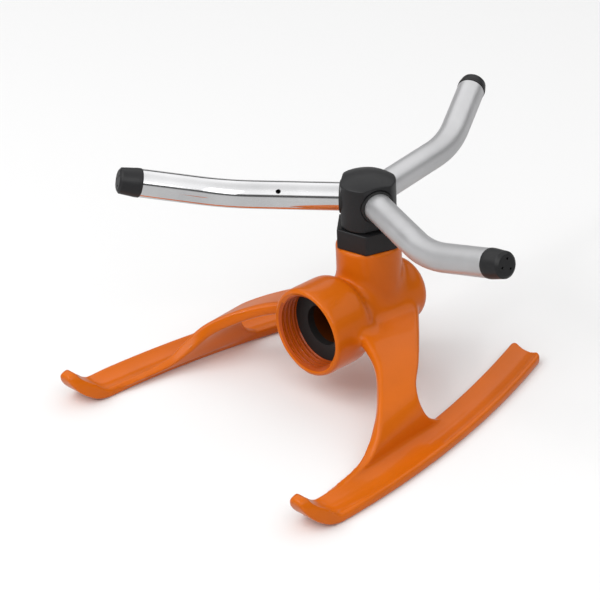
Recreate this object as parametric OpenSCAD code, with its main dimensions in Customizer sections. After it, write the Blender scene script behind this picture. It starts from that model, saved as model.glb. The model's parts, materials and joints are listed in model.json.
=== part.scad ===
// Three-arm rotary lawn sprinkler on a cast sled base.
// +Z is up, the hose inlet faces -Y, and the runners rest on z = 0.
// Lengths are in millimetres.

/* [Base] */
// Height of the barrel's axis above the ground
barrel_z = 26.6; // [24:0.2:32]
// Outer radius of the inlet cup
cup_r = 16.3; // [15.5:0.1:18]
// Outer radius of the barrel behind the cup
barrel_r = 12.4; // [12:0.1:14.5]
// Distance from the rotor axis to the inlet's rim
inlet_reach = 31.5; // [28:0.5:36]
// Distance from the rotor axis to the closed rear end of the barrel
rear_reach = 19.2; // [17:0.1:26]
// Length of the inlet cup before its shoulder
cup_len = 14; // [12:0.5:16]
// Radius of the neck that carries the bearing nut
neck_r = 11.6; // [10:0.1:12.5]
// Height of the neck's flat top above the ground
neck_top = 50.9; // [48:0.1:56]

/* [Runners] */
// Distance from the middle to a runner's centreline at its widest
runner_x = 59.3; // [50:0.1:66]
// Width of a runner
runner_w = 13.9; // [12:0.1:18]
// Height of a runner's raised edges
runner_h = 3.4; // [3:0.1:5]
// Y of the runners' widest point
runner_wide_y = -84.6; // [-90:0.2:-70]
// Y where a runner starts to curl up
curl_y = -77.1; // [-82:0.1:-74]
// Y of the runners' square rear ends
runner_rear_y = 43.6; // [40:0.2:54]
// Radius of a runner's bow, seen from above
runner_bow_r = 333; // [320:1:450]
// Radius of the curled tip, on its underside
curl_r = 16.9; // [12:0.1:18]
// Angle through which the tip curls up
curl_angle = 69; // [60:1:85]
// Thickness of the tip's nose
nose_t = 4.1; // [3:0.1:5]
// Thickness of a leg
leg_t = 4.6; // [4:0.1:5.5]

/* [Hose inlet] */
// Radius of the inlet's wall, at the roots of its hose thread
thread_r = 13.3; // [13.25:0.05:13.6]
// Length of the threaded wall
thread_len = 8; // [7:0.5:10]
// Radius of the recess that holds the hose washer
washer_seat_r = 14; // [13.7:0.05:14.2]
// Thickness of the hose washer
washer_t = 3; // [2.5:0.1:3.4]
// Radius of the hose washer's hole, and of the water passage
water_r = 7.5; // [6.5:0.1:8]

/* [Bearing] */
// Width of the bearing nut across its flats
nut_af = 21; // [20:0.1:22]
// Height of the bearing nut's hexagon
nut_h = 7.4; // [7:0.1:10]
// Radius of the nut's threaded shank
shank_r = 7.9; // [7.5:0.05:8.2]
// Length of the nut's threaded shank
shank_len = 8; // [7:0.1:9]
// Outer radius of the hollow spindle
spindle_r = 4; // [3.6:0.05:4.3]
// Radius of the hole through the spindle
spindle_bore_r = 2.75; // [2.4:0.05:2.8]
// Radial clearance of the spindle in its bearing
running_gap = 0.05; // [0.03:0.01:0.08]

/* [Rotor] */
// Radius of the rotor hub
hub_r = 10.2; // [9.9:0.1:10.6]
// Height of the rotor hub, in the middle of its crown
hub_h = 18.3; // [17.5:0.1:19]
// Radius of the hub's domed crown
crown_r = 24; // [20:0.5:40]
// Distance from the rotor axis to the flat that each arm leaves
hub_flat = 8.8; // [8.4:0.05:9]
// Height of the arms' axes above the ground
arm_z = 68; // [66:0.1:70]
// Angle of the first arm at rest, from +X
first_arm = 99.6; // [0:0.1:120]

/* [Arms] */
// Outer radius of an arm tube
tube_r = 5; // [4.7:0.05:5.1]
// Wall of an arm tube
tube_wall = 0.9; // [0.7:0.05:1.2]
// Distance from the rotor axis to the start of the bend
bend_start = 40; // [34:0.5:44]
// Bend radius, at the middle of the tube
bend_r = 45; // [40:1:60]
// Angle of the bend
bend_angle = 24; // [15:0.5:32]
// Tilt of the bend's plane above the horizontal
bend_tilt = 41; // [30:1:60]
// Length of the straight end after the bend
tip_len = 21.4; // [14:0.2:26]
// Length of the second and third nozzle caps outside their tubes
cap_len = 7.9; // [7:0.1:10]
// Length of the first nozzle cap outside its tube
short_cap_len = 4.7; // [4:0.1:10]
// Distance from the rotor axis to the driving jet in each tube
jet_reach = 30.5; // [24:0.5:36]
// Diameter of the driving jet
jet_d = 1.5; // [1:0.1:2]

/* [Hidden] */
$fn = 96;

// The rotor axis, measured from the middle of the whole sprinkler.
rotor_x = -9.34;
rotor_y = 5.92;

cast_orange = "darkorange";
eps = 0.5;                            // overrun of a cut past a face
clear = 0.1;                          // gap between parts that do not move on each other
thread_end = thread_len - inlet_reach;           // y of the thread's inner end
passage_end = rear_reach - 8;                    // y of the blind end of the water passage
nut_top = neck_top + nut_h;
shank_end = neck_top - shank_len;
shank_bore_r = shank_r + clear;
nut_turn = 12;                        // turn of the hexagon about the rotor axis
chamber_z = shank_end - 6;                       // floor of the chamber below the nut
gasket_h = 1.2;
gasket_r = 9.4;
dust_h = 0.8;
dust_r = 8.6;
dust_seat = 0.6;                                 // depth of the dust washer's recess
seal_h = 2;
seal_r = 5.6;
seal_z = neck_top + 1;
hub_z = nut_top + 0.35;
socket_top = hub_z + 4.7;
chamber_r = 4.2;
chamber_top = arm_z + 4.6;
thrust_h = 1;
thrust_r = 7.2;
steel_washer_h = 0.7;
steel_washer_r = 6.8;
clip_h = 0.9;
clip_r = 6.2;
clip_groove_r = 3.3;
thrust_z = shank_end - clear - thrust_h;
steel_washer_z = thrust_z - clear - steel_washer_h;
clip_z = steel_washer_z - clear - clip_h;
spindle_end = clip_z - 2;
tube_start = 4.7;
tube_bore_r = tube_r - tube_wall;
grommet_r = 5.9;
grommet_depth = 1.5;
grommet_proud = 0.5;
cap_collar_r = 5.15;
cap_collar_h = 1.4;
cap_end_r = 4.35;
cap_taper = 0.25;
cap_edge = 0.8;
plug_len = 5;
plug_bore_r = 3.2;
nozzle_d = 0.9;
nozzle_ring_r = 2.1;

// Smooth curve through a list of points, at t from 0 to 1 (Catmull-Rom).
function pick(p, i) = p[max(0, min(len(p) - 1, i))];
function blend(a, b, c, d, u) =
    0.5 * (2*b + (c - a)*u + (2*a - 5*b + 4*c - d)*u*u + (3*b - a - 3*c + d)*u*u*u);
function curve(p, t) =
    let (s = t * (len(p) - 1), i = min(floor(s), len(p) - 2))
    blend(pick(p, i - 1), p[i], p[i + 1], pick(p, i + 2), s - i);
function unit(v) = v / norm(v);

// Solid skin over equal closed rings of points.
module loft(rings) {
    n = len(rings);
    m = len(rings[0]);
    points = [for (r = rings) each r];
    sides = [for (i = [0:n-2], j = [0:m-1])
        let (a = i*m + j, b = i*m + (j + 1)%m, c = a + m, d = b + m)
        each [[a, c, b], [b, c, d]]];
    ends = [[for (j = [0:m-1]) j], [for (j = [m-1:-1:0]) (n - 1)*m + j]];
    polyhedron(points, concat(sides, ends), convexity = 6);
}

// Runner: a shallow channel with raised edges, flat underneath, curled up in front.
// Outline of its section, from -1 to 1 across and from 0 to 1 upwards.
channel = [
    [-0.88, 0], [0.88, 0], [1, 0.28], [1, 0.76], [0.93, 0.97], [0.82, 0.98], [0.5, 0.78],
    [0, 0.62], [-0.5, 0.78], [-0.82, 0.98], [-0.93, 0.97], [-1, 0.76], [-1, 0.28]
];
function runner_mid(y) = runner_x - pow(y - runner_wide_y, 2) / (2 * runner_bow_r);
function flat_ring(y, squeeze) = [for (p = channel)
    [runner_mid(y) + squeeze * p[0] * runner_w / 2, y, p[1] * runner_h]];
// The trough fills up as it curls, from s = 0 to 1, and then the nose closes round.
nose_round = 0.08;
nose_swell = 1.2;
function filled(z, s) = z < 0.5 ? z * runner_h
    : z * runner_h + (nose_t - z * runner_h) * pow(s, 1.2) + nose_swell * pow(sin(180 * s), 2);
function curl_ring(s) =
    let (close = sqrt(1 - pow(max(0, s - 1) / nose_round, 2)), on = min(s, 1),
        a = curl_angle * s, squeeze = close * sqrt(1 - 0.81 * on * on))
    [for (p = channel)
        let (r = curl_r - nose_t / 2 - close * (filled(p[1], on) - nose_t / 2))
        [runner_mid(curl_y) + squeeze * p[0] * runner_w / 2, curl_y - r * sin(a), curl_r - r * cos(a)]];
module runner() {
    flat_steps = 18;
    curl_steps = 9;
    rear = [for (s = [0, 0.6, 1]) flat_ring(runner_rear_y - 1.5 * s, 0.8 + 0.2 * sqrt(s))];
    flat = [for (i = [1:flat_steps])
        let (y = runner_rear_y - 1.5 + (curl_y - runner_rear_y + 1.5) * i / flat_steps)
        flat_ring(y, 1)];
    curl = [for (i = [1:curl_steps]) curl_ring(i / curl_steps)];
    nose = [for (s = [0.5, 0.85, 0.97]) curl_ring(1 + nose_round * s)];
    loft(concat(rear, flat, curl, nose));
}

// Leg: a strap from the barrel's flank to the runner's inner edge.
// The middles of its front and rear edges, from the barrel outwards.
leg_front = [[12, -20.5, 26.4], [21, -23, 25], [29.5, -27, 22.4], [37.6, -33.8, 18.7],
    [44.1, -41, 14], [47.8, -47, 8.6], [50.2, -55, 4.4], [52.8, -74, 2.4]];
leg_rear = [[12, 12, 24.2], [20, 4.2, 23.7], [28, -3.8, 22.5], [35.5, -12, 20.2],
    [42.5, -20.6, 16.8], [45.6, -22.2, 12], [46.3, -18.8, 6.2], [46.2, -12.5, 2.6]];
function leg_ring(t) =
    let (f = curve(leg_front, t), r = curve(leg_rear, t), dt = 0.01,
        along = curve(leg_front, min(1, t + dt)) + curve(leg_rear, min(1, t + dt))
            - curve(leg_front, max(0, t - dt)) - curve(leg_rear, max(0, t - dt)),
        across = unit(f - r), under = unit(cross(along, across)),
        edge = leg_t * (1 - 0.5 * max(0, 4 * t - 3)) / 2, half = norm(f - r) / 2 - edge, mid = (f + r) / 2)
    [for (side = [1, -1], a = [-90:30:90])
        mid + side * across * (half + edge * cos(a)) + side * under * edge * sin(a)];
module leg() {
    steps = 18;
    loft([for (i = [0:steps]) leg_ring(i / steps)]);
}

// Barrel: cup in front, shoulder, and a rounded closed rear end.
module barrel() {
    shoulder = 5;
    rear_round = 6;
    length = inlet_reach + rear_reach;
    translate([0, -inlet_reach, barrel_z]) rotate([-90, 0, 0]) rotate_extrude() union() {
        square([barrel_r, length - rear_round]);
        square([barrel_r - rear_round, length]);
        translate([barrel_r - rear_round, length - rear_round]) circle(rear_round);
        square([cup_r, cup_len]);
        translate([0, cup_len]) square([cup_r - shoulder, shoulder]);
        intersection() {
            translate([cup_r - shoulder, cup_len]) circle(shoulder);
            translate([0, cup_len]) square([cup_r, shoulder]);
        }
    }
}

// Cylinder along +Y that starts at y, on the barrel's axis.
module along_barrel(y, r, length) {
    translate([0, y, barrel_z]) rotate([-90, 0, 0]) cylinder(r = r, h = length);
}

module ring(z, outer_r, inner_r, height) {
    translate([0, 0, z]) difference() {
        cylinder(r = outer_r, h = height);
        translate([0, 0, -eps]) cylinder(r = inner_r, h = height + 2 * eps);
    }
}

module at_rotor() {
    translate([rotor_x, rotor_y, 0]) children();
}

module base_casting() {
    color(cast_orange) at_rotor() difference() {
        union() {
            barrel();
            translate([0, 0, barrel_z]) cylinder(r = neck_r, h = neck_top - barrel_z);
            for (side = [0, 1]) mirror([side, 0, 0]) {
                leg();
                runner();
            }
        }
        along_barrel(-inlet_reach - eps, thread_r, thread_len + eps);
        along_barrel(thread_end, washer_seat_r, washer_t);
        along_barrel(thread_end, water_r, passage_end - thread_end);
        translate([0, 0, barrel_z]) cylinder(r = shank_bore_r - 2, h = neck_top - barrel_z + eps);
        translate([0, 0, chamber_z]) cylinder(r = shank_bore_r, h = neck_top - chamber_z + eps);
        translate([0, 0, neck_top - gasket_h]) cylinder(r = gasket_r + clear, h = gasket_h + eps);
    }
}

module hose_washer() {
    color("dimgray") at_rotor() difference() {
        along_barrel(thread_end + clear, washer_seat_r - clear, washer_t - clear);
        along_barrel(thread_end - eps, water_r, washer_t + 2 * eps);
    }
}

module bearing_nut() {
    hex_r = nut_af / sqrt(3);
    color([0.1, 0.1, 0.11]) at_rotor() difference() {
        union() {
            translate([0, 0, neck_top]) rotate([0, 0, nut_turn]) cylinder(r = hex_r, h = nut_h, $fn = 6);
            translate([0, 0, shank_end]) cylinder(r = shank_r, h = shank_len + eps);
        }
        translate([0, 0, shank_end - eps])
            cylinder(r = spindle_r + running_gap, h = shank_len + nut_h + 2 * eps);
        translate([0, 0, seal_z]) cylinder(r = seal_r, h = seal_h);
        translate([0, 0, nut_top - dust_seat]) cylinder(r = dust_r + clear, h = dust_seat + eps);
    }
}

module nut_gasket() {
    color("dimgray") at_rotor() ring(neck_top - gasket_h + clear, gasket_r, shank_r + clear / 2,
        gasket_h - clear);
}

module spindle_seal() {
    color("dimgray") at_rotor() ring(seal_z + clear / 2, seal_r - clear / 2,
        spindle_r + running_gap, seal_h - clear);
}

module dust_washer() {
    color([0.1, 0.1, 0.11]) at_rotor() ring(nut_top - dust_seat, dust_r, spindle_r + 4 * running_gap, dust_h);
}

module thrust_washer() {
    color("white") at_rotor() ring(thrust_z, thrust_r, spindle_r + 4 * running_gap, thrust_h);
}

module spindle() {
    color("goldenrod") at_rotor() difference() {
        ring(spindle_end, spindle_r, spindle_bore_r, socket_top - spindle_end);
        ring(clip_z, spindle_r + eps, clip_groove_r, clip_h);
    }
}

module clip_washer() {
    color("silver") at_rotor() ring(steel_washer_z, steel_washer_r, spindle_r + clear,
        steel_washer_h);
}

module spindle_clip() {
    mouth = 4.6;
    color("gray") at_rotor() difference() {
        ring(clip_z + clear / 2, clip_r, clip_groove_r + clear, clip_h - clear);
        translate([0, -mouth / 2, clip_z - eps]) cube([clip_r + eps, mouth, clip_h + 2 * eps]);
    }
}

function arm_angle(i) = first_arm + 120 * (i - 1);

// Places its children on arm i: +X runs outwards along the tube, and +Y is the bend's side.
module on_arm(i) {
    at_rotor() rotate([0, 0, arm_angle(i)]) translate([0, 0, arm_z])
        rotate([bend_tilt, 0, 0]) children();
}

// Places its children where an arm's bend ends, with +X running on along the tube.
module after_bend() {
    translate([bend_start, bend_r, 0]) rotate([0, 0, bend_angle])
        translate([0, -bend_r, 0]) children();
}

module rotor_hub() {
    color([0.09, 0.09, 0.1]) at_rotor() difference() {
        translate([0, 0, hub_z]) rotate_extrude() intersection() {
            square([hub_r, hub_h]);
            translate([0, hub_h - crown_r]) circle(crown_r);
        }
        translate([0, 0, hub_z - eps]) cylinder(r = spindle_r + running_gap, h = chamber_top - hub_z);
        translate([0, 0, socket_top]) cylinder(r = chamber_r, h = chamber_top - socket_top);
        for (i = [1:3]) rotate([0, 0, arm_angle(i)]) {
            translate([hub_flat, -hub_r, hub_z - eps]) cube([hub_r, 2 * hub_r, hub_h + 2 * eps]);
            translate([0, 0, arm_z]) rotate([0, 90, 0]) {
                cylinder(r = tube_bore_r, h = hub_r);
                translate([0, 0, tube_start]) cylinder(r = tube_r + running_gap, h = hub_r);
                translate([0, 0, hub_flat - grommet_depth]) cylinder(r = grommet_r, h = hub_r);
            }
        }
    }
}

module arm_seal(i) {
    color([0.13, 0.13, 0.14]) on_arm(i) rotate([0, 90, 0])
        ring(hub_flat - grommet_depth, grommet_r - running_gap, tube_r + running_gap,
            grommet_depth + grommet_proud);
}

// Round bar of radius r along an arm's path, longer than the tube by extra at both ends.
module bent_bar(r, extra) {
    start = tube_start + running_gap - extra;
    translate([start, 0, 0]) rotate([0, 90, 0]) cylinder(r = r, h = bend_start - start);
    translate([bend_start, bend_r, 0]) rotate([0, 0, -90])
        rotate_extrude(angle = bend_angle) translate([bend_r, 0]) circle(r);
    after_bend() rotate([0, 90, 0]) cylinder(r = r, h = tip_len + extra);
}

module arm_tube(i) {
    color("silver") on_arm(i) difference() {
        bent_bar(tube_r, 0);
        bent_bar(tube_bore_r, eps);
        translate([jet_reach, 0, 0]) rotate([-90, 0, 0]) cylinder(d = jet_d, h = tube_r + eps);
    }
}

module nozzle_cap(i) {
    length = i == 1 ? short_cap_len : cap_len;
    color([0.09, 0.09, 0.1]) on_arm(i) after_bend() translate([tip_len, 0, 0]) rotate([0, 90, 0])
        difference() {
            union() {
                rotate_extrude() polygon([
                    [0, clear / 2], [cap_collar_r, clear / 2], [cap_collar_r, cap_collar_h],
                    [cap_end_r + cap_taper, length - cap_edge], [cap_end_r - cap_edge, length],
                    [0, length]]);
                translate([0, 0, -plug_len])
                    cylinder(r = tube_bore_r - running_gap, h = plug_len + eps);
            }
            translate([0, 0, -plug_len - eps]) cylinder(r = plug_bore_r, h = plug_len + length - 1.5);
            for (k = [0:2]) rotate([0, 0, 120 * k])
                translate([nozzle_ring_r, 0, 0]) cylinder(d = nozzle_d, h = length + eps);
        }
}

base_casting();
hose_washer();
bearing_nut();
nut_gasket();
spindle_seal();
dust_washer();
thrust_washer();
spindle();
clip_washer();
spindle_clip();
rotor_hub();
arm_tube(1);  // arm_tube_1
arm_tube(2);  // arm_tube_2
arm_tube(3);  // arm_tube_3
arm_seal(1);  // arm_seal_1
arm_seal(2);  // arm_seal_2
arm_seal(3);  // arm_seal_3
nozzle_cap(1);  // nozzle_cap_1
nozzle_cap(2);  // nozzle_cap_2
nozzle_cap(3);  // nozzle_cap_3
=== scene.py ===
import bpy
import bmesh
import json
import numpy as np
from math import sin, cos, pi, radians, sqrt
from mathutils import Vector, Matrix


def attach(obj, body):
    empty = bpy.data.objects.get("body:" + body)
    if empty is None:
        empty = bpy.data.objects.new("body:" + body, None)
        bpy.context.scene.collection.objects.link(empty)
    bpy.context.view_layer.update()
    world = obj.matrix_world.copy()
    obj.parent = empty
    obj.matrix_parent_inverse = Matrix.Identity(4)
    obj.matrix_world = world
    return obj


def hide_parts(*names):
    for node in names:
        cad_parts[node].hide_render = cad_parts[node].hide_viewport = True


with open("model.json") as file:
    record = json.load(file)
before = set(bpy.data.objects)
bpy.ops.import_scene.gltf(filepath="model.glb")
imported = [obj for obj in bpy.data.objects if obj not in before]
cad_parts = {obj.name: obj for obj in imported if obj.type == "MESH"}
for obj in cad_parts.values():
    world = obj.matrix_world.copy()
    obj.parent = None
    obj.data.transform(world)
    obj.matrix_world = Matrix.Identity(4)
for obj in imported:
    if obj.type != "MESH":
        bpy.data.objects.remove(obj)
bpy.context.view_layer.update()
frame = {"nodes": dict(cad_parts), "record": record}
scene = bpy.context.scene
MM = 0.001

# ---------------------------------------------------------------- sizes, in millimetres, as in the CAD
joint = frame["record"]["behaviour"]["joints"][0]
ROTOR = np.array([joint["pos_m"][0], joint["pos_m"][1], 0.0]) / MM
BARREL_Z, CUP_R, BARREL_R, INLET_Y, REAR_Y, CUP_LEN = 26.6, 16.3, 12.4, -31.5, 19.2, 14.0
NECK_R, NECK_TOP = 11.6, 50.9
RUNNER_X, RUNNER_W, RUNNER_H, WIDE_Y, CURL_Y = 59.3, 13.9, 3.4, -84.6, -77.1
RUNNER_REAR, BOW_R, CURL_R, CURL_ANGLE, NOSE_T, NOSE_SWELL, LEG_T = 43.6, 333.0, 16.9, 69.0, 4.1, 1.6, 4.6
THREAD_R, THREAD_LEN, SEAT_R, WASHER_T, WATER_R, PITCH = 13.3, 8.0, 14.0, 3.0, 7.5, 1.9
LEAD_IN_R, THREAD_DEPTH = 1.8, 0.85
PASSAGE_R, SHANK_R, GASKET_R, PASSAGE_LEN, GASKET_DEPTH, PASSAGE_WALL = 5.9, 8.0, 9.5, 10.3, 1.2, 8.0
NOSE_ROUND, NOSE_SLIM, REAR_ROUND = 0.08, 0.81, 1.8
ARM_Z, FIRST_ARM, TUBE_R, TUBE_WALL, ARM_START = 68.0, 99.6, 5.0, 0.9, 4.75
BEND_START, BEND_R, BEND_ANGLE, BEND_TILT, TIP_LEN = 40.0, 45.0, 24.0, 41.0, 21.4
JET_REACH, JET_D = 30.5, 1.5


# ---------------------------------------------------------------- mesh helpers
def new_mesh(name, points, faces):
    """A new smooth object from points in millimetres, measured from the rotor axis."""
    mesh = bpy.data.meshes.new(name)
    mesh.from_pydata([tuple(p) for p in (np.asarray(points, float) + ROTOR) * MM], [], faces)
    mesh.validate()
    mesh.update()
    obj = bpy.data.objects.new(name, mesh)
    scene.collection.objects.link(obj)
    mesh.shade_smooth()
    return obj


def loft_faces(rings, ring):
    """Faces of a closed skin over rings of as many points each."""
    faces = []
    for i in range(rings - 1):
        for j in range(ring):
            k = (j + 1) % ring
            faces.append((i * ring + j, i * ring + k, (i + 1) * ring + k, (i + 1) * ring + j))
    faces.append(tuple(range(ring - 1, -1, -1)))
    faces.append(tuple((rings - 1) * ring + j for j in range(ring)))
    return faces


def outward(obj):
    bm = bmesh.new()
    bm.from_mesh(obj.data)
    bmesh.ops.recalc_face_normals(bm, faces=bm.faces)
    bm.to_mesh(obj.data)
    bm.free()
    return obj


def lathe(name, profile, origin, axis, seg=128, wave=None):
    """Solid turned round an axis. The profile is (distance along, radius); wave varies a radius."""
    axis = Vector(axis).normalized()
    side = axis.orthogonal().normalized()
    other = axis.cross(side)
    points, first = [], Vector(origin)
    for along, radius in profile:
        for j in range(seg):
            a = 2 * pi * j / seg
            r = radius if wave is None else wave(along, radius, a)
            points.append(first + axis * along + side * (r * cos(a)) + other * (r * sin(a)))
    return outward(new_mesh(name, [tuple(p) for p in points], loft_faces(len(profile), seg)))


def catmull(points, count, closed=False):
    """A smooth curve through the points."""
    points = np.asarray(points, float)
    n = len(points)
    spans = n if closed else n - 1
    out = []
    for i in range(count if closed else count + 1):
        s = i * spans / count
        k = min(int(s), spans - 1)
        u = s - k
        pick = (lambda q: points[q % n]) if closed else (lambda q: points[max(0, min(n - 1, q))])
        a, b, c, d = pick(k - 1), pick(k), pick(k + 1), pick(k + 2)
        out.append(0.5 * (2 * b + (c - a) * u + (2 * a - 5 * b + 4 * c - d) * u * u
                          + (3 * b - a - 3 * c + d) * u ** 3))
    return np.array(out)


def join(name, objects):
    """One object from several, which are removed."""
    bm = bmesh.new()
    for o in objects:
        bm.from_mesh(o.data)
        bpy.data.objects.remove(o)
    mesh = bpy.data.meshes.new(name)
    bm.to_mesh(mesh)
    bm.free()
    obj = bpy.data.objects.new(name, mesh)
    scene.collection.objects.link(obj)
    return obj


def apply_modifiers(obj):
    graph = bpy.context.evaluated_depsgraph_get()
    mesh = bpy.data.meshes.new_from_object(obj.evaluated_get(graph))
    obj.modifiers.clear()
    obj.data = mesh
    return obj


def remesh(obj, voxel):
    mod = obj.modifiers.new("remesh", "REMESH")
    mod.mode = "VOXEL"
    mod.voxel_size = voxel * MM
    return apply_modifiers(obj)


def subtract(obj, cutter):
    mod = obj.modifiers.new("cut", "BOOLEAN")
    mod.operation = "DIFFERENCE"
    mod.solver = "EXACT"
    mod.object = cutter
    apply_modifiers(obj)
    bpy.data.objects.remove(cutter)
    return obj


def coords(obj):
    co = np.empty(len(obj.data.vertices) * 3)
    obj.data.vertices.foreach_get("co", co)
    return co.reshape(-1, 3)


def relax(obj, rounds, weight=None, fill=False, shrink=0.5, grow=-0.52):
    """Evens out a fine mesh. With fill, it only rounds hollows out, and leaves outer corners alone."""
    mesh = obj.data
    p = coords(obj)
    edges = np.empty(len(mesh.edges) * 2, np.int64)
    mesh.edges.foreach_get("vertices", edges)
    a, b = edges.reshape(-1, 2).T
    n = len(p)
    count = np.maximum(np.bincount(a, minlength=n) + np.bincount(b, minlength=n), 1)[:, None]
    w = np.ones((n, 1)) if weight is None else np.asarray(weight).reshape(-1, 1)

    def step(q, share):
        total = np.empty_like(q)
        for k in range(3):
            total[:, k] = np.bincount(a, q[b, k], n) + np.bincount(b, q[a, k], n)
        return (total / count - q) * share * w

    for _ in range(rounds):
        if fill:
            mesh.vertices.foreach_set("co", p.ravel())
            mesh.update()
            normal = np.empty(n * 3)
            mesh.vertices.foreach_get("normal", normal)
            move = step(p, 0.5)
            out = (move * normal.reshape(-1, 3)).sum(1, keepdims=True)
            p = p + np.where(out > 0, move, 0.12 * move)
        else:
            p = p + step(p, shrink)
            p = p + step(p, grow)
    mesh.vertices.foreach_set("co", p.ravel())
    mesh.update()
    return obj


def shade(obj, angle=40):
    """Smooth shading, with the edges sharper than angle kept crisp."""
    bm = bmesh.new()
    bm.from_mesh(obj.data)
    limit = radians(angle)
    for f in bm.faces:
        f.smooth = True
    for e in bm.edges:
        e.smooth = len(e.link_faces) == 2 and e.calc_face_angle(0) < limit
    bm.to_mesh(obj.data)
    bm.free()
    return obj


def copy_of(node, name):
    obj = bpy.data.objects.new(name, frame["nodes"][node].data.copy())
    scene.collection.objects.link(obj)
    obj.data.materials.clear()
    return obj


def softened(node, name, voxel, rounds):
    """A finer copy of a CAD node, with its edges slightly rounded."""
    obj = copy_of(node, name)
    low, high = coords(obj).min(0), coords(obj).max(0)
    relax(remesh(obj, voxel), rounds, shrink=0.5, grow=-0.35)
    obj.data.vertices.foreach_set("co", np.clip(coords(obj), low, high).ravel())
    return shade(obj, 50)


def place(obj, body, node):
    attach(obj, body)
    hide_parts(node)


# ---------------------------------------------------------------- base casting
def runner_mid(y):
    return RUNNER_X - (y - WIDE_Y) ** 2 / (2 * BOW_R)


CHANNEL = catmull([(-0.86, 0), (-0.4, 0), (0, 0), (0.4, 0), (0.86, 0), (0.97, 0.1), (1, 0.35), (1, 0.72),
                   (0.96, 0.9), (0.88, 0.98), (0.78, 0.96), (0.65, 0.86), (0.45, 0.74), (0.22, 0.65),
                   (0, 0.62), (-0.22, 0.65), (-0.45, 0.74), (-0.65, 0.86), (-0.78, 0.96), (-0.88, 0.98),
                   (-0.96, 0.9), (-1, 0.72), (-1, 0.35), (-0.97, 0.1)], 96, closed=True)


def flat_ring(y, squeeze):
    return [(runner_mid(y) + squeeze * px * RUNNER_W / 2, y, pz * RUNNER_H) for px, pz in CHANNEL]


def runner(side):
    rings = []
    for s in np.linspace(0, 1, 7):
        squeeze = 0.74 + 0.26 * sqrt(1 - (1 - s) ** 2)
        rings.append(flat_ring(RUNNER_REAR - REAR_ROUND * s, squeeze))
    rings += [flat_ring(y, 1) for y in np.linspace(RUNNER_REAR - REAR_ROUND, CURL_Y, 90)[1:]]
    # the trough fills up as it curls, and the last rings close the nose round
    for s in list(np.linspace(0, 1, 40)[1:]) + [1 + NOSE_ROUND * t for t in (0.3, 0.55, 0.75, 0.88, 0.96)]:
        a, on, close = radians(CURL_ANGLE * s), min(s, 1), sqrt(1 - (max(0, s - 1) / NOSE_ROUND) ** 2)
        squeeze = close * sqrt(1 - NOSE_SLIM * on ** 2)
        ring = []
        for px, pz in CHANNEL:
            z = pz * RUNNER_H
            upper = min(1, max(0, (pz - 0.1) / 0.5))
            z += ((NOSE_T - z) * on ** 1.2 + NOSE_SWELL * sin(pi * on) ** 2) * upper
            r = CURL_R - NOSE_T / 2 - close * (z - NOSE_T / 2)
            ring.append((runner_mid(CURL_Y) + squeeze * px * RUNNER_W / 2,
                         CURL_Y - r * sin(a), CURL_R - r * cos(a)))
        rings.append(ring)
    points = np.array(rings).reshape(-1, 3)
    points[:, 0] *= side
    return outward(new_mesh("runner", points, loft_faces(len(rings), len(CHANNEL))))


LEG_FRONT = [(12, -20.5, 26.4), (21, -23, 25), (29.5, -27, 22.4), (37.6, -33.8, 18.7),
             (44.1, -41, 14), (47.8, -47, 8.6), (50.2, -55, 4.4), (52.8, -74, 2.4)]
LEG_REAR = [(12, 12, 24.2), (20, 4.2, 23.7), (28, -3.8, 22.5), (35.5, -12, 20.2),
            (42.5, -20.6, 16.8), (45.6, -22.2, 12), (46.3, -18.8, 6.2), (46.2, -12.5, 2.6)]


def leg(side):
    """A strap between two edge curves. Its section is an oval with squared shoulders."""
    steps = 84
    front, rear = catmull(LEG_FRONT, steps), catmull(LEG_REAR, steps)
    along = np.gradient(front + rear, axis=0)
    rings = []
    for k, (f, r, t) in enumerate(zip(front, rear, along)):
        across = (f - r) / np.linalg.norm(f - r)
        under = np.cross(t, across)
        under /= np.linalg.norm(under)
        edge, mid = LEG_T * (1 - 0.5 * max(0, 4 * k / steps - 3)) / 2, (f + r) / 2
        half = np.linalg.norm(f - r) / 2 - edge
        ring = []
        for s in (1, -1):
            for a in np.radians(np.linspace(-90, 90, 13)):
                wide, thick = abs(cos(a)) ** 0.6, np.sign(sin(a)) * abs(sin(a)) ** 0.6
                ring.append(mid + s * across * (half + edge * wide) + s * under * edge * thick)
        rings.append(ring)
    points = np.array(rings).reshape(-1, 3)
    points[:, 0] *= side
    return outward(new_mesh("leg", points, loft_faces(len(rings), len(rings[0]))))


def arc(cx, cy, r, a0, a1, n):
    return [(cx + r * cos(a), cy + r * sin(a)) for a in np.radians(np.linspace(a0, a1, n))]


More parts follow.
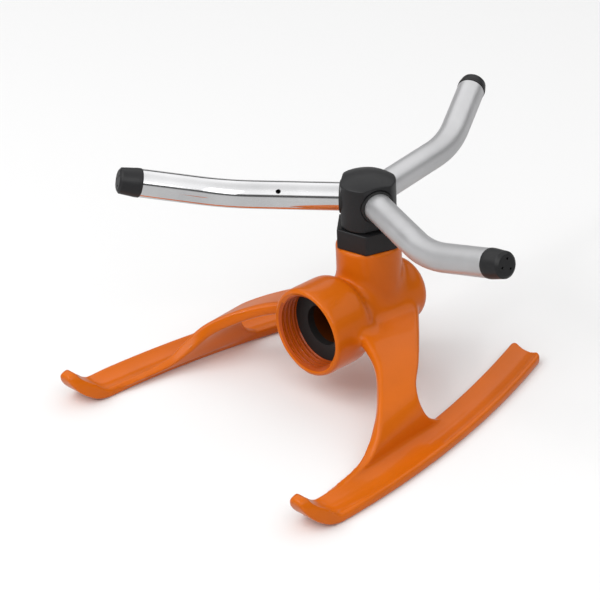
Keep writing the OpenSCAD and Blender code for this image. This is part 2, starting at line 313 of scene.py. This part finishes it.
def base_casting():
    length = REAR_Y - INLET_Y
    front = (0, INLET_Y, BARREL_Z)
    barrel = lathe("barrel", [(0, CUP_R - 0.7)] + [(d, r) for d, r in arc(0.7, CUP_R - 0.7, 0.7, 180, 90, 5)]
                   + [(d, r) for d, r in arc(CUP_LEN, CUP_R - 5, 5, 90, 20, 12)]
                   + [(CUP_LEN + 5.2, BARREL_R)]
                   + [(d, r) for d, r in arc(length - 6, BARREL_R - 6, 6, 90, 0, 14)], front, (0, 1, 0))
    neck_len = NECK_TOP - BARREL_Z
    neck = lathe("neck", [(0, NECK_R), (neck_len - 0.8, NECK_R), (neck_len, NECK_R - 0.7)],
                 (0, 0, BARREL_Z), (0, 0, 1))
    casting = join("casting", [barrel, neck] + [make(s) for s in (1, -1) for make in (leg, runner)])
    remesh(casting, 0.4)
    p = coords(casting) / MM - ROTOR
    x, y, z = np.abs(p[:, 0]), p[:, 1], p[:, 2]
    # fillets: strong where the legs and neck meet the barrel, some at the noses, slight at the legs' feet
    scale = 1
    near_barrel = np.clip((38 - x) / 8, 0, 1) * np.clip((z - 9) / 3, 0, 1) * np.clip((y + 34) / 3, 0, 1)
    near_top = np.clip((NECK_TOP - 2 - z) / 2, 0, 1)
    relax(casting, 260 // scale, near_barrel * near_top, fill=True)
    nose = np.clip((-70 - y) / 6, 0, 1) * np.clip((z - 1.6) / 1.2, 0, 1)
    relax(casting, 120 // scale, nose, fill=True)
    foot = np.clip((x - 38) / 4, 0, 1) * np.clip((y + 75) / 8, 0, 1) * np.clip((z - 1.2) / 1, 0, 1)
    inner = np.clip((runner_mid(y) - 2 - x) / 2, 0, 1)
    relax(casting, 36 // scale, foot * inner, fill=True)
    relax(casting, 8 // scale + 1)
    p = coords(casting)
    p[:, 2] = np.maximum(p[:, 2], 0)
    casting.data.vertices.foreach_set("co", p.ravel())

    # the threaded inlet, the washer's seat and the water passage
    def wave(along, radius, turn):
        if along > THREAD_LEN or radius > THREAD_R:
            return radius
        phase = (along / PITCH - turn / (2 * pi)) % 1
        depth = THREAD_DEPTH * np.clip((0.5 - abs(phase - 0.5)) * 3.4 - 0.35, 0, 1)
        return radius + depth * min(1, (THREAD_LEN - along) / 1.5, along / 0.8)

    rows = 110
    profile = [(-2, THREAD_R + LEAD_IN_R), (-0.01, THREAD_R + 1.75), (0.5, THREAD_R + 1.1), (0.9, THREAD_R)]
    profile += [(a, THREAD_R) for a in np.linspace(1.0, THREAD_LEN, rows)]
    profile += [(THREAD_LEN + 0.02, SEAT_R), (THREAD_LEN + WASHER_T, SEAT_R),
                (THREAD_LEN + WASHER_T + 0.01, WATER_R), (length - PASSAGE_WALL, WATER_R)]
    subtract(casting, lathe("inlet_cut", profile, (0, INLET_Y, BARREL_Z), (0, 1, 0), 144, wave))
    seat = [(0, PASSAGE_R), (PASSAGE_LEN, PASSAGE_R), (PASSAGE_LEN + 0.01, SHANK_R),
            (NECK_TOP - GASKET_DEPTH - BARREL_Z, SHANK_R),
            (NECK_TOP - GASKET_DEPTH + 0.01 - BARREL_Z, GASKET_R), (NECK_TOP + 2 - BARREL_Z, GASKET_R)]
    subtract(casting, lathe("seat_cut", seat, (0, 0, BARREL_Z), (0, 0, 1), 96))
    # painted shade: the inlet's inside has a darker paint, and the water passage one darker still, standing
    # in for the shade inside these recesses
    centres = np.empty(len(casting.data.polygons) * 3)
    casting.data.polygons.foreach_get("center", centres)
    p = centres.reshape(-1, 3) / MM - ROTOR
    radius, depth = np.hypot(p[:, 0], p[:, 2] - BARREL_Z), p[:, 1] - INLET_Y
    inside = (radius < SEAT_R + 0.05) & (depth > 0.7) & (depth < THREAD_LEN + WASHER_T + 0.05)
    passage = (radius < WATER_R + 0.05) & (depth > THREAD_LEN + WASHER_T)
    passage &= depth < length - PASSAGE_WALL + 0.1
    casting.data.polygons.foreach_set("material_index", np.where(passage, 2, np.where(inside, 1, 0)))
    return shade(casting, 38)


# ---------------------------------------------------------------- materials
def material(name, base, roughness, metallic=0.0, **extra):
    m = bpy.data.materials.new(name)
    m.use_nodes = True
    m.diffuse_color = (*base, 1)
    bsdf = m.node_tree.nodes["Principled BSDF"]
    bsdf.inputs["Base Color"].default_value = (*base, 1)
    bsdf.inputs["Roughness"].default_value = roughness
    bsdf.inputs["Metallic"].default_value = metallic
    for key, value in extra.items():
        bsdf.inputs[key.replace("_", " ")].default_value = value
    return m


class Nodes:
    """Short ways to add nodes to a material."""

    def __init__(self, m):
        self.tree = m.node_tree
        self.bsdf = self.tree.nodes["Principled BSDF"]
        self.where = self.tree.nodes.new("ShaderNodeTexCoord").outputs["Object"]

    def node(self, kind, **values):
        n = self.tree.nodes.new(kind)
        for key, value in values.items():
            n.inputs[key].default_value = value
        return n

    def link(self, a, b):
        self.tree.links.new(a, b)

    def noise(self, scale, detail):
        n = self.node("ShaderNodeTexNoise", Scale=scale, Detail=detail)
        self.link(self.where, n.inputs["Vector"])
        return n.outputs["Fac"]

    def ramp(self, source, stops):
        n = self.node("ShaderNodeValToRGB")
        ramp = n.color_ramp
        while len(ramp.elements) < len(stops):
            ramp.elements.new(0.5)
        for e, (position, colour) in zip(ramp.elements, stops):
            e.position = position
            e.color = (*colour, 1)
        self.link(source, n.inputs["Fac"])
        return n.outputs["Color"]

    def span(self, source, low, high):
        n = self.node("ShaderNodeMapRange")
        n.inputs["To Min"].default_value = low
        n.inputs["To Max"].default_value = high
        self.link(source, n.inputs["Value"])
        return n.outputs["Result"]

    def bump(self, layers):
        """layers: (height, strength, distance in metres)."""
        last = None
        for source, strength, distance in layers:
            n = self.node("ShaderNodeBump")
            n.inputs["Strength"].default_value = strength
            n.inputs["Distance"].default_value = distance
            self.link(source, n.inputs["Height"])
            if last:
                self.link(last, n.inputs["Normal"])
            last = n.outputs["Normal"]
        self.link(last, self.bsdf.inputs["Normal"])


def tint(base, factor):
    return tuple(min(1, c * factor) for c in base)


def paint(name, base, gloss, coat):
    m = material(name, base, 0.3, Specular_IOR_Level=gloss, Coat_Weight=coat, Coat_Roughness=0.05,
                 Coat_IOR=1.35)
    k = Nodes(m)
    tone = k.ramp(k.noise(38, 4), [(0.32, tint(base, 0.93)), (0.52, base), (0.75, tint(base, 1.07))])
    k.link(tone, k.bsdf.inputs["Base Color"])
    k.link(k.span(k.noise(120, 3), 0.24, 0.38), k.bsdf.inputs["Roughness"])
    k.bump([(k.noise(220, 2), 0.10, 0.0006), (k.noise(1400, 2), 0.05, 0.0001)])
    return m


def plastic(name, base, roughness, gloss=0.5):
    m = material(name, base, roughness, Specular_IOR_Level=gloss)
    k = Nodes(m)
    tone = k.ramp(k.noise(90, 3), [(0.3, tint(base, 0.85)), (0.7, tint(base, 1.2))])
    k.link(tone, k.bsdf.inputs["Base Color"])
    k.link(k.span(k.noise(500, 2), roughness - 0.06, roughness + 0.08), k.bsdf.inputs["Roughness"])
    k.bump([(k.noise(2600, 2), 0.12, 0.00008)])
    return m


def metal(name, base, low, high, metallic=1.0):
    m = material(name, base, (low + high) / 2, metallic)
    k = Nodes(m)
    tone = k.ramp(k.noise(60, 3), [(0.3, tint(base, 0.93)), (0.7, tint(base, 1.04))])
    k.link(tone, k.bsdf.inputs["Base Color"])
    k.link(k.span(k.noise(160, 4), low, high), k.bsdf.inputs["Roughness"])
    k.bump([(k.noise(900, 3), 0.06, 0.00005)])
    return m


# ---------------------------------------------------------------- rotor pieces
def arm_turn(i):
    turn = Matrix.Rotation(radians(FIRST_ARM + 120 * (i - 1)), 4, "Z")
    return Matrix.Translation((0, 0, ARM_Z)) @ turn @ Matrix.Rotation(radians(BEND_TILT), 4, "X")


def arm_path():
    """(point, direction) along an arm, in its own plane."""
    path = [((d, 0.0), (1.0, 0.0)) for d in np.linspace(ARM_START, BEND_START, 30)[:-1]]
    for a in np.radians(np.linspace(0, BEND_ANGLE, 26)):
        path.append(((BEND_START + BEND_R * sin(a), BEND_R * (1 - cos(a))), (cos(a), sin(a))))
    (px, py), (dx, dy) = path[-1]
    for d in np.linspace(0, TIP_LEN, 16)[1:]:
        path.append(((px + dx * d, py + dy * d), (dx, dy)))
    return path


def arm_tube(i):
    """Bent tube with its own wall and slightly rounded ends."""
    seg, edge = 96, 0.18
    path = arm_path()
    inner = TUBE_R - TUBE_WALL
    rings = []

    def ring(station, r, back=0.0):
        (x, y), (dx, dy) = station
        rows = []
        for j in range(seg):
            a = 2 * pi * j / seg
            rows.append((x - dx * back - dy * r * cos(a), y - dy * back + dx * r * cos(a), r * sin(a)))
        rings.append(rows)

    # along the outside, over the far end, and back along the bore
    ring(path[0], TUBE_R - edge)
    ring(path[0], TUBE_R, -edge)
    for station in path[1:-1]:
        ring(station, TUBE_R)
    ring(path[-1], TUBE_R, edge)
    ring(path[-1], TUBE_R - edge)
    ring(path[-1], inner + edge)
    ring(path[-1], inner, edge)
    for station in reversed(path[1:-1]):
        ring(station, inner)
    ring(path[0], inner, -edge)
    ring(path[0], inner + edge)
    faces = []
    for a in range(len(rings)):
        b = (a + 1) % len(rings)
        for j in range(seg):
            k = (j + 1) % seg
            faces.append((a * seg + j, a * seg + k, b * seg + k, b * seg + j))
    turn = arm_turn(i)
    points = [tuple(turn @ Vector(p)) for row in rings for p in row]
    tube = outward(new_mesh(f"tube_{i}", points, faces))
    jet = turn @ Vector((JET_REACH, 0, 0))
    out = turn.to_3x3() @ Vector((0, 1, 0))
    jet_profile = [(TUBE_R - 2, JET_D / 2), (TUBE_R - 0.25, JET_D / 2), (TUBE_R + 1, JET_D / 2 + 0.9)]
    subtract(tube, lathe("jet_cut", jet_profile, tuple(jet), tuple(out), 32))
    return shade(tube, 40)


# ---------------------------------------------------------------- the model
orange = paint("orange_enamel", (0.595, 0.123, 0.003), 0.12, 0.30)
# the next two are darker copies of the orange paint: painted shade inside the inlet, and deeper painted
# shade in the water passage
inlet_painted_shade = paint("orange_enamel_painted_shade_in_inlet", (0.40, 0.060, 0.003), 0.2, 0.3)
passage_painted_shade = paint("orange_enamel_painted_shade_in_passage", (0.085, 0.018, 0.002), 0.2, 0.1)
black = plastic("black_moulded", (0.012, 0.012, 0.013), 0.4, 0.35)
rubber = plastic("black_rubber", (0.012, 0.012, 0.012), 0.6)
white = plastic("white_acetal", (0.62, 0.62, 0.58), 0.45)
# near black for the dust washer: painted shade for the dark gap between the hub and the nut
gap_shade_black = plastic("black_painted_gap_shade", (0.014, 0.014, 0.015), 0.5)
polished = metal("polished_aluminium", (0.84, 0.84, 0.85), 0.06, 0.12, metallic=0.95)
satin = metal("satin_aluminium", (0.65, 0.65, 0.66), 0.36, 0.46, metallic=0.8)
brass = metal("turned_brass", (0.75, 0.56, 0.26), 0.22, 0.34)
steel = metal("spring_steel", (0.62, 0.62, 0.64), 0.22, 0.36)

casting = base_casting()
casting.name = "sled_casting"
for m in (orange, inlet_painted_shade, passage_painted_shade):
    casting.data.materials.append(m)
place(casting, "base", "base_casting")

moulded = [("bearing_nut", "hex_nut", "base", 0.24, 5), ("rotor_hub", "spray_hub", "rotor", 0.24, 16)]
moulded += [(f"nozzle_cap_{i}", f"cap_{i}", "rotor", 0.17, 4) for i in (1, 2, 3)]
for node, name, body, voxel, rounds in moulded:
    piece = softened(node, name, voxel, rounds)
    piece.data.materials.append(black)
    place(piece, body, node)

for i in (1, 2, 3):
    piece = arm_tube(i)
    piece.data.materials.append(polished if i == 2 else satin)
    place(piece, "rotor", f"arm_tube_{i}")

# the small parts keep their CAD shapes
# the dust washer's near-black colour is painted shade for the gap between the hub and the nut
small_parts = [("hose_washer", rubber), ("nut_gasket", rubber), ("spindle_seal", rubber),
               ("dust_washer", gap_shade_black), ("thrust_washer", white), ("spindle", brass), ("clip_washer", steel),
               ("spindle_clip", steel)]
small_parts += [(f"arm_seal_{i}", rubber) for i in (1, 2, 3)]
for node, m in small_parts:
    data = frame["nodes"][node].data
    data.materials.clear()
    data.materials.append(m)

# ---------------------------------------------------------------- floor, light and camera
floor_mesh = bpy.data.meshes.new("floor")
floor_mesh.from_pydata([(-4, -4, 0), (4, -4, 0), (4, 4, 0), (-4, 4, 0)], [], [(0, 1, 2, 3)])
floor = bpy.data.objects.new("floor", floor_mesh)
scene.collection.objects.link(floor)
floor.location.z = -0.00005
floor_paint = material("floor_paint", (0.84, 0.84, 0.84), 0.7, Specular_IOR_Level=0.2)
floor_mesh.materials.append(floor_paint)
# gloss on the object mirrors the even grey of the world below, and not the bright floor
floor.visible_glossy = False

world = bpy.data.worlds.new("studio")
scene.world = world
world.use_nodes = True
sky = world.node_tree.nodes
links = world.node_tree.links
height = sky.new("ShaderNodeSeparateXYZ")
links.new(sky.new("ShaderNodeTexCoord").outputs["Generated"], height.inputs[0])
shades = sky.new("ShaderNodeValToRGB")
# how bright the studio is by the sine of the height looked at, with a dark band that the tubes mirror
bands = [(0.0, 0.52), (0.10, 0.45), (0.15, 0.05), (0.40, 0.05), (0.47, 1.0), (0.75, 1.0), (1.0, 0.74)]
while len(shades.color_ramp.elements) < len(bands):
    shades.color_ramp.elements.new(0.5)
for e, (position, level) in zip(shades.color_ramp.elements, bands):
    e.position = position
    e.color = (level, level, level, 1)
links.new(height.outputs["Z"], shades.inputs["Fac"])
links.new(shades.outputs["Color"], sky["Background"].inputs["Color"])
sky["Background"].inputs["Strength"].default_value = 1.08


def softbox(name, place_at, target, size, power):
    data = bpy.data.lights.new(name, "AREA")
    data.shape = "SQUARE"
    data.size = size
    data.energy = power
    light = bpy.data.objects.new(name, data)
    scene.collection.objects.link(light)
    light.location = place_at
    light.rotation_euler = (Vector(target) - Vector(place_at)).to_track_quat("-Z", "Y").to_euler()


hub = Vector((ROTOR[0] * MM, ROTOR[1] * MM, ARM_Z * MM))
softbox("key", (-0.35, -0.75, 0.95), hub, 0.9, 6.0)
softbox("fill", (0.8, -0.45, 0.8), hub, 0.7, 2.8)
softbox("spark", (0.05, -1.0, 0.8), hub, 0.1, 1.0)

# the camera looks past the hub, which stands a little right of the picture's middle and above it (metres)
AZIMUTH, ELEVATION, ROLL = radians(48.06), radians(28.43), radians(-2.56)
DISTANCE, LENS, HUB_RIGHT, HUB_UP = 1.0, 173.01, 0.02327, 0.03577
back = Vector((sin(AZIMUTH) * cos(ELEVATION), -cos(AZIMUTH) * cos(ELEVATION), sin(ELEVATION)))
flat = Vector((cos(AZIMUTH), sin(AZIMUTH), 0))
rise = back.cross(flat)
right = cos(ROLL) * flat + sin(ROLL) * rise
up = cos(ROLL) * rise - sin(ROLL) * flat
camera_data = bpy.data.cameras.new("camera")
camera_data.sensor_width = 36
camera_data.lens = LENS
camera = bpy.data.objects.new("camera", camera_data)
scene.collection.objects.link(camera)
spot = hub + back * DISTANCE - right * HUB_RIGHT - up * HUB_UP
camera.matrix_world = Matrix.Translation(spot) @ Matrix((right, up, back)).transposed().to_4x4()
scene.camera = camera
scene.view_settings.view_transform = "Standard"
